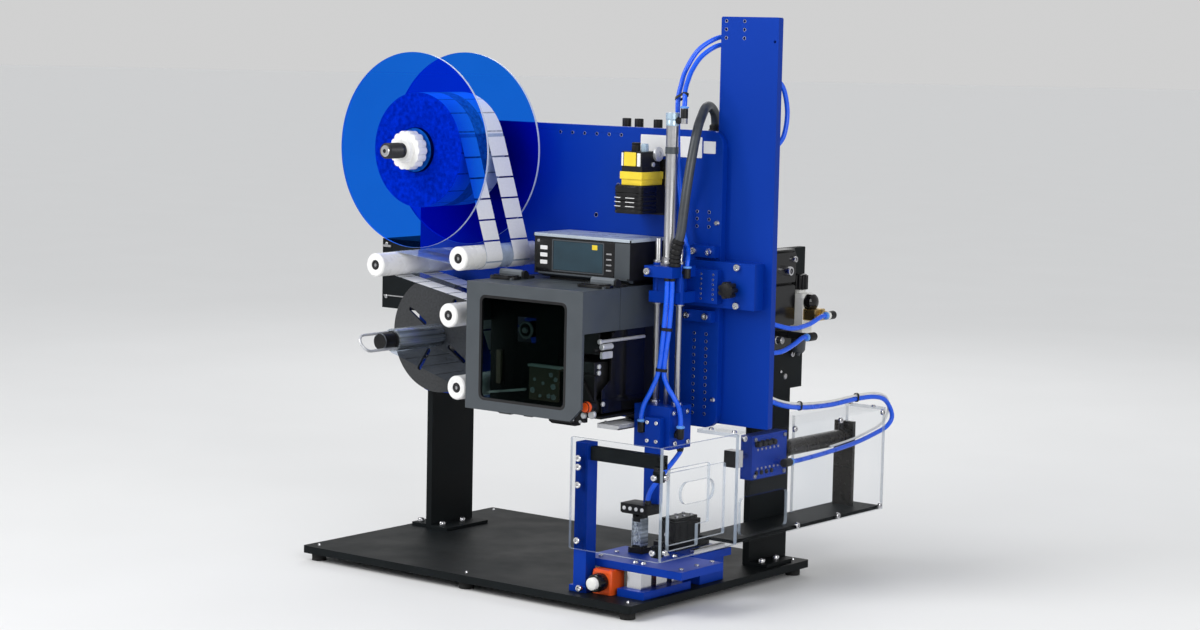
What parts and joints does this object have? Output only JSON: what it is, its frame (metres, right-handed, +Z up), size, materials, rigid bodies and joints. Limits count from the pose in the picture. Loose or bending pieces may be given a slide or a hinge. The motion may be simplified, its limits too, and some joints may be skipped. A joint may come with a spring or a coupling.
{
  "type": "print and apply labelling machine",
  "caption": "Bench labelling machine: label reel, guide rollers, print engine with hinged door, liner rewind and a pneumatic tamp over a guarded nest on a base plate.",
  "frame": {"origin": "middle of the whole machine, on the surface its feet stand on", "axes": "+Z up, +Y from the operator towards the back, +X to the right along the faceplate"},
  "size_m": [0.85, 0.7279, 0.948],
  "materials": {
    "blue_anodised": "satin blue anodised plate with fine brushed grain",
    "black_metal": "matt black powder coat",
    "foot_rubber": "matt black rubber",
    "steel": "turned stainless steel",
    "polished_steel": "polished bright steel",
    "grey_plastic": "finely textured slate grey moulding",
    "black_plastic": "satin black moulding",
    "white_plastic": "smooth white acetal",
    "clear_guard": "clear polycarbonate with bright cut edges",
    "reel_acrylic": "pale blue clear acrylic with bright edges",
    "smoked_window": "dark smoked window",
    "label_paper": "white label stock on pale liner",
    "orange_plastic": "orange moulding",
    "blue_hose": "smooth blue polyurethane tube",
    "dark_rubber": "dark rubber"
  },
  "bodies": {
    "frame": {"base_plate": "black_metal", "base_feet": "foot_rubber", "button_screws": "steel", "left_leg": "black_metal", "right_leg": "black_metal", "faceplate": "blue_anodised", "tower_plate": "blue_anodised", "control_boxes": "black_metal", "rewind_motor": "black_metal", "roller_shafts": "steel", "printer_cover": "grey_plastic", "printer_chassis": "black_plastic", "print_head": "steel", "hmi_housing": "black_plastic", "arm_plate": "blue_anodised", "crosshead": "blue_anodised", "tamp_cylinder": "polished_steel", "scanner": "black_plastic", "guard_front": "clear_guard", "guard_side": "clear_guard", "guard_tunnel": "clear_guard", "guard_rails": "black_metal", "guard_post": "blue_anodised", "fixture_plates": "blue_anodised", "fixture_spacers": "polished_steel", "nest": "black_plastic", "start_box": "orange_plastic", "start_barrel": "black_plastic", "valve_block": "black_plastic", "regulator_body": "white_plastic", "manifold_block": "blue_anodised", "shuttle_cylinder": "polished_steel", "supply_hoses": "blue_hose", "conduit": "dark_rubber", "drop_hoses": "blue_hose", "air_hoses": "blue_hose", "label_web": "label_paper"},
    "reel": {"reel_shaft": "steel", "reel_discs": "reel_acrylic", "label_roll": "label_paper"},
    "reel_nut": {"reel_nut": "white_plastic"},
    "rewind": {"rewind_disc": "grey_plastic", "mandrel": "steel"},
    "liner_clip": {"mandrel_clip": "polished_steel"},
    "roller_1": {"roller_1": "white_plastic"},
    "roller_2": {"roller_2": "white_plastic"},
    "roller_3": {"roller_3": "white_plastic"},
    "roller_4": {"roller_4": "white_plastic"},
    "door": {"printer_door": "grey_plastic", "door_window": "smoked_window"},
    "platen": {"platen_roller": "dark_rubber"},
    "ribbon": {"ribbon_spindle": "black_plastic"},
    "latch": {"latch_lever": "orange_plastic"},
    "tamp": {"tamp_rods": "polished_steel", "tamp_block": "blue_anodised", "tamp_pad": "black_plastic"},
    "star_knob": {"star_knob": "black_plastic"},
    "start_button": {"start_button": "white_plastic"},
    "regulator_knob": {"regulator_knob": "black_plastic"},
    "shuttle": {"shuttle_rod": "polished_steel"}
  },
  "joints": [
    {"name": "reel_spin", "type": "hinge", "parent": "frame", "child": "reel", "pos_m": [-0.187, -0.21, 0.714], "axis": [0, 1, 0], "continuous": true},
    {"name": "reel_nut_spin", "type": "hinge", "parent": "reel", "child": "reel_nut", "pos_m": [-0.187, -0.295, 0.714], "axis": [0, 1, 0], "continuous": true},
    {"name": "rewind_spin", "type": "hinge", "parent": "frame", "child": "rewind", "pos_m": [-0.246, -0.21, 0.384], "axis": [0, 1, 0], "continuous": true},
    {"name": "liner_clip_slide", "type": "slide", "parent": "rewind", "child": "liner_clip", "axis": [0, -1, 0], "range_m": [0, 0.09]},
    {"name": "roller_1_spin", "type": "hinge", "parent": "frame", "child": "roller_1", "pos_m": [-0.235, -0.21, 0.518], "axis": [0, 1, 0], "continuous": true},
    {"name": "roller_2_spin", "type": "hinge", "parent": "frame", "child": "roller_2", "pos_m": [-0.0503, -0.21, 0.5416], "axis": [0, 1, 0], "continuous": true},
    {"name": "roller_3_spin", "type": "hinge", "parent": "frame", "child": "roller_3", "pos_m": [-0.0698, -0.21, 0.4456], "axis": [0, 1, 0], "continuous": true},
    {"name": "roller_4_spin", "type": "hinge", "parent": "frame", "child": "roller_4", "pos_m": [-0.0497, -0.21, 0.3265], "axis": [0, 1, 0], "continuous": true},
    {"name": "door_hinge", "type": "hinge", "parent": "frame", "child": "door", "pos_m": [0.1005, -0.23125, 0.514], "axis": [-1, 0, 0], "range_deg": [0, 90]},
    {"name": "platen_spin", "type": "hinge", "parent": "frame", "child": "platen", "pos_m": [0.198, -0.21, 0.3159], "axis": [0, 1, 0], "continuous": true},
    {"name": "ribbon_spin", "type": "hinge", "parent": "frame", "child": "ribbon", "pos_m": [0.062, -0.21, 0.4295], "axis": [0, 1, 0], "continuous": true},
    {"name": "latch_turn", "type": "hinge", "parent": "frame", "child": "latch", "pos_m": [0.19, -0.285, 0.3515], "axis": [0, 1, 0], "range_deg": [0, 70]},
    {"name": "tamp_slide", "type": "slide", "parent": "frame", "child": "tamp", "axis": [0, 0, 1], "range_m": [0, 0.14], "deforming": ["drop_hoses"]},
    {"name": "star_knob_turn", "type": "hinge", "parent": "frame", "child": "star_knob", "pos_m": [0.367, -0.135, 0.5095], "axis": [0, 1, 0], "continuous": true},
    {"name": "start_press", "type": "slide", "parent": "frame", "child": "start_button", "axis": [0, 1, 0], "range_m": [0, 0.004], "stiffness_N_per_m": 300},
    {"name": "regulator_turn", "type": "hinge", "parent": "frame", "child": "regulator_knob", "pos_m": [0.3233, 0.139, 0.495], "axis": [0, 0, 1], "continuous": true},
    {"name": "shuttle_slide", "type": "slide", "parent": "frame", "child": "shuttle", "axis": [0, -1, 0], "range_m": [0, 0.05]}
  ]
}
